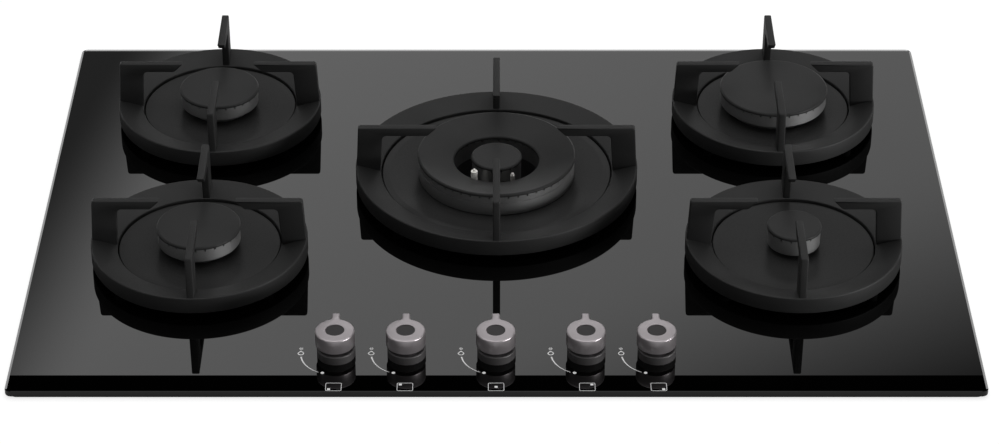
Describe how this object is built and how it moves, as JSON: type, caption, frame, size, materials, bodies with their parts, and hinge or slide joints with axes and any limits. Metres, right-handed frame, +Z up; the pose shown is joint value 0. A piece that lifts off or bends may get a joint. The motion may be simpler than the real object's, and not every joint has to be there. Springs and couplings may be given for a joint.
{
  "type": "built-in gas cooktop",
  "caption": "Built-in gas cooktop: black glass sheet, ringed pan supports with L-shaped fingers, dished burner plates, lift-off burners, and turn-and-push knobs along the front.",
  "frame": {"origin": "middle of the underside of the base tray", "axes": "+X to the right, +Y to the rear (the knobs are at -Y), +Z up out of the glass"},
  "size_m": [0.75, 0.52, 0.109],
  "materials": {
    "black_glass": "polished, opaque black",
    "tray_paint": "matte black paint",
    "seal_rubber": "soft black foam rubber",
    "plate_enamel": "satin black enamel",
    "cast_aluminium": "as cast",
    "brass_parts": "machined",
    "electrode_ceramic": "glazed white",
    "probe_steel": "dull",
    "collar_plastic": "satin dark grey",
    "plain_steel": "zinc plated",
    "pipe_aluminium": "drawn",
    "pale_plastic": "matte off-white",
    "dark_plastic": "matte",
    "support_iron": "satin black enamel on cast iron",
    "foot_rubber": "matte black",
    "knob_finish": "satin warm grey, metallic look",
    "knob_disc": "satin dark grey",
    "spreader_aluminium": "dark grey, blasted",
    "cap_enamel": "satin black enamel"
  },
  "bodies": {
    "hob": {"glass_top": "black_glass", "base_tray": "tray_paint", "worktop_seal": "seal_rubber", "burner_plates": "plate_enamel", "burner_cups": "cast_aluminium", "injectors": "brass_parts", "spark_electrodes": "electrode_ceramic", "thermocouples": "probe_steel", "knob_collars": "collar_plastic", "tap_bodies": "brass_parts", "tap_covers": "plain_steel", "gas_manifold": "plain_steel", "gas_inlet_connector": "brass_parts", "feed_pipes": "pipe_aluminium", "spark_generator": "pale_plastic", "ignition_switches": "dark_plastic", "terminal_box": "pale_plastic", "cup_screws": "plain_steel"},
    "tap_front_left": {"tap_plug_front_left": "brass_parts"},
    "knob_front_left": {"spindle_front_left": "plain_steel", "knob_front_left": "knob_finish", "knob_insert_front_left": "knob_disc"},
    "pan_support_front_left": {"pan_support_front_left": "support_iron", "support_feet_front_left": "foot_rubber"},
    "tap_rear_left": {"tap_plug_rear_left": "brass_parts"},
    "knob_rear_left": {"spindle_rear_left": "plain_steel", "knob_rear_left": "knob_finish", "knob_insert_rear_left": "knob_disc"},
    "pan_support_rear_left": {"pan_support_rear_left": "support_iron", "support_feet_rear_left": "foot_rubber"},
    "tap_center": {"tap_plug_center": "brass_parts"},
    "knob_center": {"spindle_center": "plain_steel", "knob_center": "knob_finish", "knob_insert_center": "knob_disc"},
    "pan_support_center": {"pan_support_center": "support_iron", "support_feet_center": "foot_rubber"},
    "tap_rear_right": {"tap_plug_rear_right": "brass_parts"},
    "knob_rear_right": {"spindle_rear_right": "plain_steel", "knob_rear_right": "knob_finish", "knob_insert_rear_right": "knob_disc"},
    "pan_support_rear_right": {"pan_support_rear_right": "support_iron", "support_feet_rear_right": "foot_rubber"},
    "tap_front_right": {"tap_plug_front_right": "brass_parts"},
    "knob_front_right": {"spindle_front_right": "plain_steel", "knob_front_right": "knob_finish", "knob_insert_front_right": "knob_disc"},
    "pan_support_front_right": {"pan_support_front_right": "support_iron", "support_feet_front_right": "foot_rubber"},
    "spreader_front_left": {"flame_spreader_front_left": "spreader_aluminium"},
    "cap_front_left": {"burner_cap_front_left": "cap_enamel"},
    "spreader_rear_left": {"flame_spreader_rear_left": "spreader_aluminium"},
    "cap_rear_left": {"burner_cap_rear_left": "cap_enamel"},
    "spreader_center_ring": {"flame_spreader_center_ring": "spreader_aluminium"},
    "cap_center_ring": {"burner_cap_center_ring": "cap_enamel"},
    "spreader_center_inner": {"flame_spreader_center_inner": "spreader_aluminium"},
    "cap_center_inner": {"burner_cap_center_inner": "cap_enamel"},
    "spreader_rear_right": {"flame_spreader_rear_right": "spreader_aluminium"},
    "cap_rear_right": {"burner_cap_rear_right": "cap_enamel"},
    "spreader_front_right": {"flame_spreader_front_right": "spreader_aluminium"},
    "cap_front_right": {"burner_cap_front_right": "cap_enamel"}
  },
  "joints": [
    {"name": "tap_turn_front_left", "type": "hinge", "parent": "hob", "child": "tap_front_left", "pos_m": [-0.124, -0.2117, 0.033], "axis": [0, 0, 1], "range_deg": [0, 160]},
    {"name": "knob_push_front_left", "type": "slide", "parent": "tap_front_left", "child": "knob_front_left", "axis": [0, 0, -1], "range_m": [0, 0.003], "stiffness_N_per_m": 800, "springref_m": -0.004},
    {"name": "pan_support_lift_front_left", "type": "slide", "parent": "hob", "child": "pan_support_front_left", "axis": [0, 0, 1], "range_m": [0, 0.12]},
    {"name": "tap_turn_rear_left", "type": "hinge", "parent": "hob", "child": "tap_rear_left", "pos_m": [-0.0695, -0.2117, 0.033], "axis": [0, 0, 1], "range_deg": [0, 160]},
    {"name": "knob_push_rear_left", "type": "slide", "parent": "tap_rear_left", "child": "knob_rear_left", "axis": [0, 0, -1], "range_m": [0, 0.003], "stiffness_N_per_m": 800, "springref_m": -0.004},
    {"name": "pan_support_lift_rear_left", "type": "slide", "parent": "hob", "child": "pan_support_rear_left", "axis": [0, 0, 1], "range_m": [0, 0.12]},
    {"name": "tap_turn_center", "type": "hinge", "parent": "hob", "child": "tap_center", "pos_m": [0, -0.2117, 0.033], "axis": [0, 0, 1], "range_deg": [0, 160]},
    {"name": "knob_push_center", "type": "slide", "parent": "tap_center", "child": "knob_center", "axis": [0, 0, -1], "range_m": [0, 0.003], "stiffness_N_per_m": 800, "springref_m": -0.004},
    {"name": "pan_support_lift_center", "type": "slide", "parent": "hob", "child": "pan_support_center", "axis": [0, 0, 1], "range_m": [0, 0.12]},
    {"name": "tap_turn_rear_right", "type": "hinge", "parent": "hob", "child": "tap_rear_right", "pos_m": [0.0695, -0.2117, 0.033], "axis": [0, 0, 1], "range_deg": [0, 160]},
    {"name": "knob_push_rear_right", "type": "slide", "parent": "tap_rear_right", "child": "knob_rear_right", "axis": [0, 0, -1], "range_m": [0, 0.003], "stiffness_N_per_m": 800, "springref_m": -0.004},
    {"name": "pan_support_lift_rear_right", "type": "slide", "parent": "hob", "child": "pan_support_rear_right", "axis": [0, 0, 1], "range_m": [0, 0.12]},
    {"name": "tap_turn_front_right", "type": "hinge", "parent": "hob", "child": "tap_front_right", "pos_m": [0.124, -0.2117, 0.033], "axis": [0, 0, 1], "range_deg": [0, 160]},
    {"name": "knob_push_front_right", "type": "slide", "parent": "tap_front_right", "child": "knob_front_right", "axis": [0, 0, -1], "range_m": [0, 0.003], "stiffness_N_per_m": 800, "springref_m": -0.004},
    {"name": "pan_support_lift_front_right", "type": "slide", "parent": "hob", "child": "pan_support_front_right", "axis": [0, 0, 1], "range_m": [0, 0.12]},
    {"name": "spreader_lift_front_left", "type": "slide", "parent": "hob", "child": "spreader_front_left", "axis": [0, 0, 1], "range_m": [0, 0.009]},
    {"name": "cap_lift_front_left", "type": "slide", "parent": "spreader_front_left", "child": "cap_front_left", "axis": [0, 0, 1], "range_m": [0, 0.005]},
    {"name": "spreader_lift_rear_left", "type": "slide", "parent": "hob", "child": "spreader_rear_left", "axis": [0, 0, 1], "range_m": [0, 0.009]},
    {"name": "cap_lift_rear_left", "type": "slide", "parent": "spreader_rear_left", "child": "cap_rear_left", "axis": [0, 0, 1], "range_m": [0, 0.005]},
    {"name": "spreader_lift_center_ring", "type": "slide", "parent": "hob", "child": "spreader_center_ring", "axis": [0, 0, 1], "range_m": [0, 0.009]},
    {"name": "cap_lift_center_ring", "type": "slide", "parent": "spreader_center_ring", "child": "cap_center_ring", "axis": [0, 0, 1], "range_m": [0, 0.005]},
    {"name": "spreader_lift_center_inner", "type": "slide", "parent": "hob", "child": "spreader_center_inner", "axis": [0, 0, 1], "range_m": [0, 0.05]},
    {"name": "cap_lift_center_inner", "type": "slide", "parent": "spreader_center_inner", "child": "cap_center_inner", "axis": [0, 0, 1], "range_m": [0, 0.05]},
    {"name": "spreader_lift_rear_right", "type": "slide", "parent": "hob", "child": "spreader_rear_right", "axis": [0, 0, 1], "range_m": [0, 0.009]},
    {"name": "cap_lift_rear_right", "type": "slide", "parent": "spreader_rear_right", "child": "cap_rear_right", "axis": [0, 0, 1], "range_m": [0, 0.005]},
    {"name": "spreader_lift_front_right", "type": "slide", "parent": "hob", "child": "spreader_front_right", "axis": [0, 0, 1], "range_m": [0, 0.05]},
    {"name": "cap_lift_front_right", "type": "slide", "parent": "spreader_front_right", "child": "cap_front_right", "axis": [0, 0, 1], "range_m": [0, 0.05]}
  ]
}
